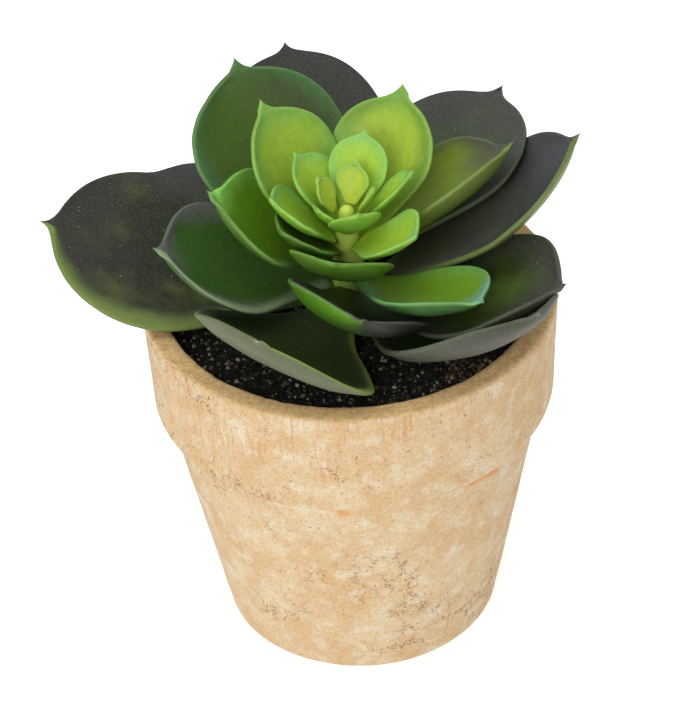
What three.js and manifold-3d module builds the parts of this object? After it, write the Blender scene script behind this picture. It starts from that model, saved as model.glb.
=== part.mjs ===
// A rosette succulent in a thick-walled clay pot.
// Millimetres, +Z up. The origin is the middle of the pot's flat foot, and -Y is the side that
// faces the viewer. Azimuths are degrees counter-clockwise from +X, seen from above.
import * as THREE from 'three';
import { mergeVertices } from 'three/addons/utils/BufferGeometryUtils.js';
import Module from 'manifold-3d';

const { Manifold, Mesh: SolidMesh } = await (async () => {
  const wasm = await Module();
  wasm.setup();
  return wasm;
})();

// ---- driving dimensions ------------------------------------------------------------------
const GAP = 0.3;               // clearance left wherever two separate pieces meet

const POT_HEIGHT = 93;
const RIM_RADIUS = 50;         // outside of the collar at the lip
const LIP_RADIUS = 44.3;       // inside of the lip: the wall is almost 6 mm thick
const COLLAR_FOOT_Z = 64.4;    // where the thick collar ends
const COLLAR_FOOT_RADIUS = 48.85;
const BODY_TOP_RADIUS = 45.5;  // the tapered body just under the collar
const BASE_RADIUS = 34.15;     // the flat foot
const FOOT_ROUND = 1.6;
const LIP_ROUND = 0.7;
const COLLAR_INSIDE_Z = 71;    // the inner wall is upright down to here, then tapers
const COLLAR_INSIDE_RADIUS = 43.5;
const FLOOR_THICKNESS = 8;
const INNER_FLOOR_RADIUS = 29;
const POT_FACETS = 48;

const SOIL_LEVEL = 88.4;       // mean level, a little under the lip
const SOIL_SWELL = 0.7;        // height of the gentle lumps in its top face
const SOIL_FACETS = 48;

const STEM_RADIUS_LOW = 6.2;
const STEM_RADIUS_TOP = 2;
const STEM_FOOT_Z = 80;
const STEM_TOP_Z = 117.5;
const STEM_FACETS = 16;

const LEAF_BASE_SHARE = 0.17;  // a leaf's width at the stem, as a share of its widest
const YOUNG_BASE_SHARE = 0.3;  // a young leaf clasps the stem with a wider foot
const LEAF_WIDEST_AT = 0.6;    // how far along the leaf it is widest
const MUCRO_LENGTH = 3.4;      // the hard little point at the tip
const YOUNG_MUCRO_LENGTH = 1.6;
const MUCRO_HALF_WIDTH = 1.1;

// ---- the leaves --------------------------------------------------------------------------
// One row a leaf: azimuth, height where it leaves the stem, pitch there, how much further it
// curls up by the tip, roll about its own length, length, width, cup (half the angle its cross
// section is bent through). Millimetres and degrees.
const LEAVES = {
  // big dark leaves, spread over the soil and the pot's rim
  leaf_outer_left:        [170, 92.5, 3, 26, -12, 68, 49, 13],
  leaf_outer_back_left:   [139, 90.2, 10, -3, -2, 58, 31, 10],
  leaf_outer_back:        [100, 92, 10, 18, 0, 72, 42, 8],
  leaf_outer_right:       [6, 94.5, 16.5, 38, -9.5, 60, 39.5, 22],
  leaf_outer_front_right: [310, 90, 1, 56, -7, 62, 45, 25],
  leaf_outer_front_left:  [242, 90.5, 2, 61, -13, 57, 46, 8],
  leaf_upper_back_left:   [127, 98.5, 20, 51, 6, 54, 46, 20],
  leaf_upper_back_right:  [46, 99.8, 12.5, 18, -9, 55, 44.5, 15],
  leaf_upper_right:       [330, 92.5, 5, 38, 5, 55, 42, 34],
  leaf_upper_front:       [267, 96, 10, 42, -20, 42, 38, 35],
  // the middle of the rosette, green in the cup and greyer at the edge
  leaf_middle_left:       [193, 97, 13, 28, -12, 44, 37, 25],
  leaf_middle_bright:     [184, 100.5, 31, 25, -10, 35, 32, 38],
  leaf_middle_back_left:  [136, 103, 43, 24, 8, 37, 31, 29],
  leaf_middle_back:       [57, 103.6, 37, 28, -8, 37, 31, 27],
  leaf_middle_right:      [18, 102.3, 22, 14, -18, 41, 35.5, 45],
  leaf_middle_front_right: [307, 98.6, 9, 27, -6, 44, 29.5, 37],
  leaf_middle_front:      [262, 103.5, 19, 40, -6, 28, 27, 32],
  leaf_middle_front_left: [217, 107, 26, 30, -6, 20, 19, 30],
  // the young leaves round the growing point
  leaf_inner_front_right: [314, 108.5, 20, 26, 15, 23, 19, 36],
  leaf_inner_left:        [196, 109.5, 33, 26, 0, 20, 20, 28],
  leaf_inner_back_left:   [141, 111.3, 48, 10, 14, 18, 18.5, 28],
  leaf_inner_back:        [70, 111.4, 48, 14, -1, 20, 15.5, 24],
  leaf_inner_right:       [0, 113.2, 36, 20, -12, 17, 13, 24],
  leaf_inner_front:       [284, 112.4, 37, 34, 0, 12.5, 13.5, 24],
  leaf_inner_front_left:  [220, 113.6, 42, 22, -4, 9, 9, 24],
  leaf_heart_left:        [158, 115.5, 58, 16, 0, 8.5, 9, 28],
  leaf_heart_back:        [66, 116, 62, 10, 0, 9.5, 9, 26],
  leaf_heart_right:       [340, 115.5, 54, 22, 0, 8.5, 8, 28],
};

// ---- materials ---------------------------------------------------------------------------
function clayMaterial() {
  return new THREE.MeshStandardMaterial({ color: 0xd9b384, roughness: 0.9, metalness: 0 });
}

function soilMaterial() {
  return new THREE.MeshStandardMaterial({ color: 0x1c1a18, roughness: 1, metalness: 0 });
}

function stemMaterial() {
  return new THREE.MeshStandardMaterial({ color: 0x6f8a34, roughness: 0.7, metalness: 0 });
}

function leafMaterial(name) {
  const colours = { outer: 0x3f453a, upper: 0x4a5a34, middle: 0x5f8a2c, inner: 0x9dbb45, heart: 0xc3cf5a };
  const layer = name.split('_')[1];
  return new THREE.MeshStandardMaterial({ color: colours[layer], roughness: 0.65, metalness: 0 });
}

// ---- solids of revolution ----------------------------------------------------------------
// Quarter-round corner points about (r, z), between two angles in degrees.
function arcPoints(r, z, radius, fromDeg, toDeg, steps) {
  const points = [];
  for (let i = 0; i <= steps; i += 1) {
    const a = THREE.MathUtils.degToRad(fromDeg + (toDeg - fromDeg) * i / steps);
    points.push(new THREE.Vector2(r + radius * Math.cos(a), z + radius * Math.sin(a)));
  }
  return points;
}

// LatheGeometry turns its profile about Y, so it is stood up to turn about Z.
function turned(profile, facets) {
  const geometry = new THREE.LatheGeometry(profile, facets);
  geometry.rotateX(Math.PI / 2);
  return geometry;
}

// A closed mesh as a solid that can be cut: only positions are kept and shared corners merged.
function toSolid(geometry) {
  const bare = geometry.clone();
  bare.deleteAttribute('normal');
  bare.deleteAttribute('uv');
  const merged = mergeVertices(bare, 1e-4);
  const corners = merged.index.array;
  const triangles = [];
  for (let i = 0; i < corners.length; i += 3) {
    const [a, b, c] = [corners[i], corners[i + 1], corners[i + 2]];
    if (a !== b && b !== c && a !== c) triangles.push(a, b, c);
  }
  return new Manifold(new SolidMesh({
    numProp: 3,
    vertProperties: new Float32Array(merged.attributes.position.array),
    triVerts: new Uint32Array(triangles),
  }));
}

function cut(geometry, tool) {
  const result = toSolid(geometry).subtract(toSolid(tool)).getMesh();
  const out = new THREE.BufferGeometry();
  out.setAttribute('position', new THREE.BufferAttribute(new Float32Array(result.vertProperties), 3));
  out.setIndex(Array.from(result.triVerts));
  out.computeVertexNormals();
  return out;
}

function potGeometry() {
  const profile = [
    new THREE.Vector2(0, 0),
    ...arcPoints(BASE_RADIUS - FOOT_ROUND, FOOT_ROUND, FOOT_ROUND, -90, 0, 3),
    new THREE.Vector2(BODY_TOP_RADIUS, COLLAR_FOOT_Z - 2.4),
    new THREE.Vector2(BODY_TOP_RADIUS + 1.2, COLLAR_FOOT_Z - 1.2),
    new THREE.Vector2(COLLAR_FOOT_RADIUS - 0.7, COLLAR_FOOT_Z - 0.2),
    new THREE.Vector2(COLLAR_FOOT_RADIUS, COLLAR_FOOT_Z + 1.4),
    ...arcPoints(RIM_RADIUS - LIP_ROUND, POT_HEIGHT - LIP_ROUND, LIP_ROUND, 0, 90, 2),
    ...arcPoints(LIP_RADIUS + LIP_ROUND, POT_HEIGHT - LIP_ROUND, LIP_ROUND, 90, 180, 2),
    new THREE.Vector2(COLLAR_INSIDE_RADIUS, COLLAR_INSIDE_Z),
    new THREE.Vector2(INNER_FLOOR_RADIUS, FLOOR_THICKNESS),
    new THREE.Vector2(0, FLOOR_THICKNESS),
  ];
  return turned(profile, POT_FACETS);
}

// Radius of the pot's inner wall at a height: upright behind the collar, then tapering to the floor.
function innerWallRadius(z) {
  if (z > COLLAR_INSIDE_Z) {
    const t = (POT_HEIGHT - LIP_ROUND - z) / (POT_HEIGHT - LIP_ROUND - COLLAR_INSIDE_Z);
    return THREE.MathUtils.lerp(LIP_RADIUS, COLLAR_INSIDE_RADIUS, t);
  }
  const t = (z - FLOOR_THICKNESS) / (COLLAR_INSIDE_Z - FLOOR_THICKNESS);
  return THREE.MathUtils.lerp(INNER_FLOOR_RADIUS, COLLAR_INSIDE_RADIUS, t);
}

// The soil fills the pot. Its top face has gentle lumps.
function soilHeight(x, y) {
  const lumps = Math.sin(0.19 * x + 0.6) * Math.cos(0.23 * y - 0.4) + 0.5 * Math.sin(0.41 * x - 0.37 * y);
  return SOIL_LEVEL + SOIL_SWELL * lumps / 1.5;
}

function soilPlug() {
  const bottom = FLOOR_THICKNESS + GAP;
  const edge = innerWallRadius(SOIL_LEVEL) - GAP;
  const profile = [
    new THREE.Vector2(0, bottom),
    new THREE.Vector2(innerWallRadius(bottom) - GAP, bottom),
    new THREE.Vector2(COLLAR_INSIDE_RADIUS - GAP, COLLAR_INSIDE_Z),
    new THREE.Vector2(edge, SOIL_LEVEL - 1.5),
    ...[1, 0.86, 0.7, 0.52, 0.34, 0.17, 0].map((share) => new THREE.Vector2(edge * share, SOIL_LEVEL)),
  ];
  const geometry = turned(profile, SOIL_FACETS);
  const position = geometry.attributes.position;
  for (let i = 0; i < position.count; i += 1) {
    if (position.getZ(i) > SOIL_LEVEL - 0.1) {
      position.setZ(i, soilHeight(position.getX(i), position.getY(i)));
    }
  }
  return geometry;
}

// The soil with the socket that the stem stands in.
function soilGeometry() {
  return cut(soilPlug(), stemGeometry(GAP));
}

// ---- the stem ----------------------------------------------------------------------------
function stemRadius(z) {
  const t = (z - STEM_FOOT_Z) / (STEM_TOP_Z - STEM_FOOT_Z);
  return THREE.MathUtils.lerp(STEM_RADIUS_LOW, STEM_RADIUS_TOP, THREE.MathUtils.clamp(t, 0, 1));
}

// A tapering column with a domed growing point.
function stemGeometry(radiusAdded) {
  const top = STEM_TOP_Z - STEM_RADIUS_TOP;
  const profile = [
    new THREE.Vector2(0, STEM_FOOT_Z - radiusAdded),
    new THREE.Vector2(stemRadius(STEM_FOOT_Z) + radiusAdded, STEM_FOOT_Z - radiusAdded),
    new THREE.Vector2(stemRadius(95) + radiusAdded, 95),
    ...arcPoints(0, top, STEM_RADIUS_TOP + radiusAdded, 0, 90, 4),
  ];
  profile[profile.length - 1].x = 0;
  return turned(profile, STEM_FACETS);
}

// ---- a leaf ------------------------------------------------------------------------------
// Half width along the leaf, as a share of half the widest width: a strap at the stem that
// swells into a broad round blade.
function bladeWidth(u, baseShare) {
  const rise = THREE.MathUtils.smoothstep(u, 0, LEAF_WIDEST_AT);
  const fall = THREE.MathUtils.clamp((u - LEAF_WIDEST_AT) / (1 - LEAF_WIDEST_AT), 0, 1);
  const grow = baseShare + (1 - baseShare) * rise ** 0.9;
  return grow * Math.sqrt(1 - fall ** 2.3);
}

// Sections along the leaf: where each stands (0 base, 1 end of the blade) and how thick it is.
function leafStations(count) {
  const stations = [];
  for (let i = 0; i < count; i += 1) {
    const t = i / (count - 1);
    stations.push(0.985 * Math.sin(t * Math.PI / 2) ** 0.85);
  }
  return stations;
}

// One closed skin made of rings. Each ring is the outline of a cross section: along the upper
// face from the right margin to the left one, then back along the underside.
function leafGeometry(row, detail) {
  const [, , pitch, curl, , length, width, cup] = row;
  const thickness = Math.min(2.4, 0.85 + 0.035 * width);
  const stations = leafStations(detail.rings);
  const rad = THREE.MathUtils.degToRad;
  const turnAt = (u) => rad(pitch + curl * u ** 1.3);

  // the midrib, walked in small steps
  const steps = 60;
  const midrib = [new THREE.Vector2(0, 0)];
  for (let i = 0; i < steps; i += 1) {
    const a = turnAt((i + 0.5) / steps);
    const last = midrib[i];
    midrib.push(new THREE.Vector2(last.x + Math.cos(a) * length / steps, last.y + Math.sin(a) * length / steps));
  }
  const midribAt = (u) => {
    const k = Math.min(u * steps, steps - 1e-6);
    const i = Math.floor(k);
    return midrib[i].clone().lerp(midrib[i + 1], k - i);
  };

  const across = [];
  const half = detail.across;
  for (let j = 0; j <= half; j += 1) across.push([Math.sin((j / half - 0.5) * Math.PI), 0.5]);
  for (let j = 1; j < half; j += 1) across.push([Math.sin((0.5 - j / half) * Math.PI), -0.5]);

  // a point of the leaf: u along it, v across it (-1 to 1), side +0.5 on top and -0.5 below
  const pointAt = (u, halfWidth, v, side, thick) => {
    const mid = midribAt(u);
    const a = turnAt(u);
    const bend = Math.max(rad(cup) * THREE.MathUtils.clamp(u / 0.35, 0.3, 1), 0.001);
    const outward = halfWidth * Math.sin(bend * v) / bend;
    const raised = halfWidth * (1 - Math.cos(bend * v)) / bend;
    const skin = side * thick * Math.sqrt(Math.max(0, 1 - v ** 6)) * (1 - 0.15 * v * v);
    const normalAcross = -Math.sin(bend * v);
    const lift = raised + skin * Math.cos(bend * v);
    return new THREE.Vector3(
      mid.x - Math.sin(a) * lift,
      outward + skin * normalAcross,
      mid.y + Math.cos(a) * lift,
    );
  };

  const points = [];
  stations.forEach((u, i) => {
    const halfWidth = width / 2 * bladeWidth(u, detail.baseShare);
    const ends = i === 0 ? 0.75 : 1;
    const thick = thickness * ends * (1 - 0.35 * u ** 6);
    across.forEach(([v, side]) => points.push(pointAt(u, halfWidth, v, side, thick)));
  });
  // the mucro: one narrow ring, then its point
  const mucro = detail.mucro;
  const root = midribAt(1);
  const along = turnAt(1);
  const mucroDir = new THREE.Vector3(Math.cos(along), 0, Math.sin(along));
  const rootPoint = new THREE.Vector3(root.x, 0, root.y);
  across.forEach(([v, side]) => {
    const up = side * 1.1 * Math.sqrt(Math.max(0, 1 - v * v));
    points.push(new THREE.Vector3(
      rootPoint.x - Math.sin(along) * up + mucroDir.x * mucro * 0.12,
      v * MUCRO_HALF_WIDTH,
      rootPoint.z + Math.cos(along) * up + mucroDir.z * mucro * 0.12,
    ));
  });

  const ring = across.length;
  const rings = stations.length + 1;
  const basePole = points.length;
  points.push(new THREE.Vector3(0, 0, 0));
  const tipPole = points.length;
  points.push(rootPoint.clone().addScaledVector(mucroDir, mucro));

  const index = [];
  for (let j = 0; j < ring; j += 1) {
    const next = (j + 1) % ring;
    index.push(basePole, j, next);
    for (let i = 0; i < rings - 1; i += 1) {
      const a = i * ring + j;
      const b = i * ring + next;
      const c = (i + 1) * ring + next;
      const d = (i + 1) * ring + j;
      index.push(a, c, b, a, d, c);
    }
    index.push((rings - 1) * ring + j, tipPole, (rings - 1) * ring + next);
  }
  const geometry = new THREE.BufferGeometry().setFromPoints(points);
  geometry.setIndex(index);
  geometry.computeVertexNormals();
  return geometry;
}

// A leaf leaves the stem at its height, is rolled about its own length, pitched and turned.
function leafMesh(name, row) {
  const [azimuth, height, pitch, , roll, length] = row;
  const grown = { rings: 10, across: 5, mucro: MUCRO_LENGTH, baseShare: LEAF_BASE_SHARE };
  const young = { rings: 7, across: 4, mucro: YOUNG_MUCRO_LENGTH, baseShare: YOUNG_BASE_SHARE };
  const detail = length > 30 ? grown : young;
  const geometry = leafGeometry(row, detail);
  const rad = THREE.MathUtils.degToRad;
  const axis = new THREE.Vector3(Math.cos(rad(pitch)), 0, Math.sin(rad(pitch)));
  geometry.applyMatrix4(new THREE.Matrix4().makeRotationAxis(axis, rad(roll)));
  const mesh = new THREE.Mesh(geometry, leafMaterial(name));
  mesh.name = name;
  const start = stemRadius(height) + GAP + 0.5;
  mesh.rotation.z = rad(azimuth);
  mesh.position.set(start * Math.cos(rad(azimuth)), start * Math.sin(rad(azimuth)), height);
  return mesh;
}

// ---- the scene graph ---------------------------------------------------------------------
function named(name, geometry, material) {
  const mesh = new THREE.Mesh(geometry, material);
  mesh.name = name;
  return mesh;
}

const plant = new THREE.Group();
plant.name = 'potted_succulent';
plant.add(named('pot', potGeometry(), clayMaterial()));
plant.add(named('soil', soilGeometry(), soilMaterial()));
plant.add(named('stem', stemGeometry(0), stemMaterial()));
for (const [name, row] of Object.entries(LEAVES)) {
  plant.add(leafMesh(name, row));
}
plant.updateMatrixWorld(true);

export default plant;
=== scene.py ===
# %% [markdown]
# # A succulent in a clay pot
# A rosette succulent stands in a thick-walled clay pot full of dark potting soil. Its leaves are
# thick spoons: the outer ones are charcoal green, the inner ones lime. The solid model of the
# object is loaded first. It gives the size and the place of every piece, and the cells below give
# each piece its fine surface and its colours.

import math

import bmesh
import bpy
import numpy as np
from mathutils import Matrix, Vector, noise


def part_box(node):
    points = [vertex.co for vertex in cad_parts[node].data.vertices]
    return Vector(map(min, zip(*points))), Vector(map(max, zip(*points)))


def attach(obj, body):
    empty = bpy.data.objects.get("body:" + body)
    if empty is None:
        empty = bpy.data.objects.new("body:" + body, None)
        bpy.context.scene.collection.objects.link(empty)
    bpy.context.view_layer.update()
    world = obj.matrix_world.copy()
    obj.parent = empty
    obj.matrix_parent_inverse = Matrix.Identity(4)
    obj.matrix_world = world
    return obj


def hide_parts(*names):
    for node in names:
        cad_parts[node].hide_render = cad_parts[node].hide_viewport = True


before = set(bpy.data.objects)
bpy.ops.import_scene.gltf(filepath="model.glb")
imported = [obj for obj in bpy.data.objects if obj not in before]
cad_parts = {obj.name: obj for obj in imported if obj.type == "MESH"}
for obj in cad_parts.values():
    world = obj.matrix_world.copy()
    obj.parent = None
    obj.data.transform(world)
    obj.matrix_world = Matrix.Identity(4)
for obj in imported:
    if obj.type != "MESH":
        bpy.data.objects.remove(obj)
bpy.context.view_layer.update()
MM = 0.001
LEAVES = sorted(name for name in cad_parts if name.startswith("leaf_"))
print("solid model:", len(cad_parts), "pieces,", len(LEAVES), "of them leaves")

# %% [markdown]
# ## Two small tools for materials
# Colours are written as the hex values that a painter would pick on a screen. The renderer works
# in linear light, so one function turns them. One more function adds a shader node, sets it up
# and links it, so that a material reads as a list of its layers.


# %% Colour and node tools
def linear(hex_colour):
    """An sRGB hex colour as linear red, green, blue and alpha."""
    values = [int(hex_colour[i:i + 2], 16) / 255 for i in (1, 3, 5)]
    turned = [c / 12.92 if c <= 0.04045 else ((c + 0.055) / 1.055) ** 2.4 for c in values]
    return (*turned, 1.0)


def add(tree, kind, inputs=None, **settings):
    """Adds a node. An input is given a number, a hex colour, another node, or its output."""
    node = tree.nodes.new(kind)
    for key, value in settings.items():
        setattr(node, key, value)
    for key, value in (inputs or {}).items():
        socket = node.inputs[key]
        if isinstance(key, str):
            socket = next(s for s in node.inputs if s.name == key and s.enabled)
        if isinstance(value, bpy.types.Node):
            value = next(s for s in value.outputs if s.enabled)
        if isinstance(value, bpy.types.NodeSocket):
            tree.links.new(value, socket)
        else:
            socket.default_value = linear(value) if str(value).startswith("#") else value
    return node


def new_material(name):
    """An empty material with its output and principled shader."""
    material = bpy.data.materials.new(name)
    material.use_nodes = True
    tree = material.node_tree
    tree.nodes.clear()
    shader = add(tree, "ShaderNodeBsdfPrincipled")
    add(tree, "ShaderNodeOutputMaterial", {"Surface": shader.outputs["BSDF"]})
    return material, tree, shader


print("tools ready")

# %% [markdown]
# ## The floor, the light and the camera
# The plant stands on a plain white sheet that is lit a little from below, as on a light table,
# so that shadows are faint. The light is soft and comes from everywhere, with a large lamp in
# front on the left and a weaker one above. The camera looks down on the pot from a steep angle
# through a long lens, and it is turned a little about its own axis, which makes the pot lean.

# %% Floor and light
scene = bpy.context.scene
scene.view_settings.view_transform = "Standard"

FLOOR_SIZE = 6.0
FLOOR_DROP = 0.2 * MM          # the floor lies a hair below the foot, so they don't share a plane
bpy.ops.mesh.primitive_plane_add(size=FLOOR_SIZE, location=(0, 0, -FLOOR_DROP))
floor = bpy.context.object
floor.name = "floor"
floor_paint, _, floor_shader = new_material("white_studio_paper")
floor_shader.inputs["Base Color"].default_value = linear("#f4f4f4")
floor_shader.inputs["Roughness"].default_value = 0.9
floor_shader.inputs["Emission Color"].default_value = linear("#ffffff")
floor_shader.inputs["Emission Strength"].default_value = 0.45
floor.data.materials.append(floor_paint)

world = bpy.data.worlds.new("soft_room")
scene.world = world
world.use_nodes = True
world.node_tree.nodes["Background"].inputs["Color"].default_value = (1, 1, 1, 1)
world.node_tree.nodes["Background"].inputs["Strength"].default_value = 0.78


def area_lamp(name, place, aim, size, power):
    """A square soft box at a place, turned to face its aim."""
    data = bpy.data.lights.new(name, "AREA")
    data.size = size
    data.energy = power
    lamp = bpy.data.objects.new(name, data)
    scene.collection.objects.link(lamp)
    lamp.location = place
    lamp.rotation_euler = (Vector(aim) - Vector(place)).to_track_quat("-Z", "Y").to_euler()


heart = Vector((0, 0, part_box("stem")[1].z))
area_lamp("top_box", (-0.3, -0.2, 1.2), heart, 0.9, 3.5)
area_lamp("front_box", (-0.45, -1.0, 0.75), heart, 0.7, 8.0)
print("light set round a heart", round(heart.z / MM, 1), "mm up")

# %% Camera
LENS_MM = 167.0                # a long lens on a 36 mm wide sensor
CAMERA_DISTANCE = 0.8
CAMERA_ELEVATION = math.radians(38.25)
CAMERA_ROLL = math.radians(-2.77)
AIM = Vector((-0.00186, 0, 0.0732))

back = Vector((0, -math.cos(CAMERA_ELEVATION), math.sin(CAMERA_ELEVATION)))
right = Vector((1, 0, 0))
up = back.cross(right)
rolled_right = right * math.cos(CAMERA_ROLL) + up * math.sin(CAMERA_ROLL)
rolled_up = up * math.cos(CAMERA_ROLL) - right * math.sin(CAMERA_ROLL)
lens = bpy.data.cameras.new("view")
lens.sensor_width = 36
lens.lens = LENS_MM
camera = bpy.data.objects.new("view", lens)
scene.collection.objects.link(camera)
turn = Matrix((rolled_right, rolled_up, back)).transposed().to_4x4()
camera.matrix_world = Matrix.Translation(AIM + back * CAMERA_DISTANCE) @ turn
scene.camera = camera
print("camera", round(lens.lens), "mm,", CAMERA_DISTANCE, "m away")

# %% [markdown]
# ## Reading a leaf's shape from the solid model
# Each leaf of the solid model is a skin of rings, from a point at the stem to a point at the tip.
# A learner could scale a sphere and bend it, but then the leaf wouldn't lie where the real one
# does. Instead the rings are read back: the number of edges that a corner is away from the base
# point says which ring it is in. The middle of each ring's two faces gives a thin sheet, and the
# distance between them gives the thickness. The fine leaf is then a smooth surface through that
# sheet.


# %% Rings of a leaf
SAME_CORNER = 0.002 * MM       # corners closer than this are one corner
POLE_EDGES = 8                 # a pole has at least this many edges


def merged_copy(node):
    """A node's mesh is loose triangles, so a copy has its corners merged."""
    shell = bmesh.new()
    shell.from_mesh(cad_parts[node].data)
    bmesh.ops.remove_doubles(shell, verts=shell.verts, dist=SAME_CORNER)
    return shell


def walk_ring(members):
    """The corners of one ring, in the order that its edges join them."""
    inside = set(members)
    ordered = [members[0]]
    while len(ordered) < len(members):
        here = ordered[-1]
        nexts = [e.other_vert(here) for e in here.link_edges]
        nexts = [v for v in nexts if v in inside and v not in ordered]
        if not nexts:
            return None
        ordered.append(nexts[0])
    return ordered


def rings_from(pole):
    """Rings by their distance in edges from a pole, or None if they aren't alike."""
    seen = {pole}
    front = [pole]
    rings = []
    while front:
        ring = []
        for corner in front:
            for edge in corner.link_edges:
                other = edge.other_vert(corner)
                if other not in seen:
                    seen.add(other)
                    ring.append(other)
        if ring:
            rings.append(ring)
        front = ring
    sizes = {len(r) for r in rings[:-1]}
    if len(sizes) != 1 or len(rings[-1]) != 1:
        return None
    walked = [walk_ring(r) for r in rings[:-1]]
    if None in walked:
        return None
    return [[np.array(v.co) for v in r] for r in walked], np.array(rings[-1][0].co)


print("rings can be walked")


# %% Lining the rings up
def line_up(ring, model):
    """Turns or reverses a ring so that its corners match those of the ring before it."""
    def shape(points):
        points = np.array(points) - np.mean(points, axis=0)
        return points / np.linalg.norm(points)
    target = shape(model)
    best = None
    for order in (list(ring), list(ring)[::-1]):
        for shift in range(len(order)):
            trial = order[shift:] + order[:shift]
            error = np.linalg.norm(shape(trial) - target)
            if best is None or error < best[0]:
                best = (error, trial)
    return best[1]


def read_leaf(node):
    """Rings from base to tip, each starting at a margin and going over the upper face first."""
    shell = merged_copy(node)
    poles = [v for v in shell.verts if len(v.link_edges) >= POLE_EDGES]
    poles.sort(key=lambda v: math.hypot(v.co.x, v.co.y))
    rings, tip = next(found for found in map(rings_from, poles) if found)
    shell.free()
    half = len(rings[0]) // 2
    widest = len(rings) // 2
    wide = rings[widest]
    spans = [np.linalg.norm(wide[i] - wide[i + half]) for i in range(half)]
    start = int(np.argmax(spans))
    wide = wide[start:] + wide[:start]
    first, second = np.mean(wide[1:half], axis=0), np.mean(wide[half + 1:], axis=0)
    centre = np.mean(wide, axis=0)
    upward = np.array([-centre[0], -centre[1], 2 * np.hypot(centre[0], centre[1])])
    if np.dot(first - second, upward) < 0:
        wide = wide[:1] + wide[1:][::-1]
    rings[widest] = wide
    for k in range(widest + 1, len(rings)):
        rings[k] = line_up(rings[k], rings[k - 1])
    for k in range(widest - 1, -1, -1):
        rings[k] = line_up(rings[k], rings[k + 1])
    return np.array(rings), tip


for name in LEAVES[:2]:
    rings, tip = read_leaf(name)
    print(name, "has", len(rings), "rings of", len(rings[0]), "corners")

# %% [markdown]
# ## From rings to a smooth fleshy leaf
# A curve that never overshoots runs through the rings from base to tip, and a short polynomial
# runs across, from margin to margin. The skin is laid on both sides of that sheet: thickest along
# the middle, and round at the margins like the edge of a coin. The margin turns up a little, and
# the tip is drawn out to a point. Slow noise makes each leaf a little uneven, as a grown thing
# is. Each point also keeps where it lies on the leaf, because the colour follows that: how far
# along, how far across, how many millimetres from the margin and from the tip, and on which face.


# %% Smooth curves
def monotone_curve(knots, values, at):
    """Piecewise cubic through values that doesn't overshoot. Values may have several columns."""
    step = np.diff(knots)
    shape = (-1,) + (1,) * (values.ndim - 1)
    slope = np.diff(values, axis=0) / step.reshape(shape)
    tangent = np.zeros_like(values)
    tangent[0], tangent[-1] = slope[0], slope[-1]
    before, after = slope[:-1], slope[1:]
    weight_a = (2 * step[1:] + step[:-1]).reshape(shape)
    weight_b = (step[1:] + 2 * step[:-1]).reshape(shape)
    same = before * after > 0
    safe_a, safe_b = np.where(same, before, 1.0), np.where(same, after, 1.0)
    mean = (weight_a + weight_b) / (weight_a / safe_a + weight_b / safe_b)
    tangent[1:-1] = np.where(same, mean, 0.0)
    k = np.clip(np.searchsorted(knots, at, side="right") - 1, 0, len(knots) - 2)
    h = step[k]
    t = (at - knots[k]) / h
    t, h = t.reshape(shape), h.reshape(shape)
    return ((1 + 2 * t) * (1 - t) ** 2 * values[k] + t * (1 - t) ** 2 * h * tangent[k]
            + t * t * (3 - 2 * t) * values[k + 1] + t * t * (t - 1) * h * tangent[k + 1])


def across_weights(nodes, at):
    """Lagrange weights: row i gives how much each node counts at at[i]."""
    weights = np.ones((len(at), len(nodes)))
    for j, own in enumerate(nodes):
        for k, other in enumerate(nodes):
            if k != j:
                weights[:, j] *= (at - other) / (own - other)
    return weights


def smoothed(values, rounds):
    """Evens out rows between the first and the last."""
    for _ in range(rounds):
        values[1:-1] = (values[:-2] + 2 * values[1:-1] + values[2:]) / 4
    return values


print("curve tools ready")

# %% The sheet inside a leaf
TIP_DRAW = 0.47 * MM           # half width of the drawn-out tip, 1 mm from its point
TIP_REACH = 7.5 * MM           # how far back from its point the tip is drawn out
TIP_CURVE = 1.4                # above 1, the tip's sides are hollow
FULL_LENGTH = 45 * MM          # a leaf shorter than this has a smaller tip


def leaf_sheet(name, along_steps, across_steps):
    """Points of the leaf's middle sheet, its thickness, and the half width at each station."""
    rings, tip = read_leaf(name)
    half = rings.shape[1] // 2
    sheet = np.empty((len(rings) + 1, half + 1, 3))
    sheet[:-1, 0], sheet[:-1, half] = rings[:, 0], rings[:, half]
    under = rings[:, :half:-1]
    sheet[:-1, 1:half] = (rings[:, 1:half] + under) / 2
    sheet[-1] = tip
    apart = rings[:, 1:half] - under
    thick = np.append(np.linalg.norm(apart, axis=2).max(axis=1), 0.0)
    spine = sheet[:, half // 2]
    run = np.concatenate([[0], np.cumsum(np.linalg.norm(np.diff(spine, axis=0), axis=1))])
    at = np.sin(np.linspace(0, math.pi / 2, along_steps)) ** 0.9
    fine = smoothed(monotone_curve(run / run[-1], sheet, at), 2)
    thickness = smoothed(monotone_curve(run / run[-1], thick, at), 2)
    half_width = draw_out_tip(fine, (1 - at) * run[-1], min(1.0, run[-1] / FULL_LENGTH))
    places = np.sin((np.arange(half + 1) / half - 0.5) * math.pi)
    v = -np.cos(np.linspace(0, math.pi, across_steps + 1))
    points = np.einsum("vj,ujc->uvc", across_weights(places, v), fine)
    normal = sheet_normals(points)
    middle = len(rings) // 2
    if np.dot(apart[middle].mean(axis=0), normal[along_steps // 2, across_steps // 2]) < 0:
        normal = -normal
    return points, normal, thickness, half_width, at, v, run[-1]


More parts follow.
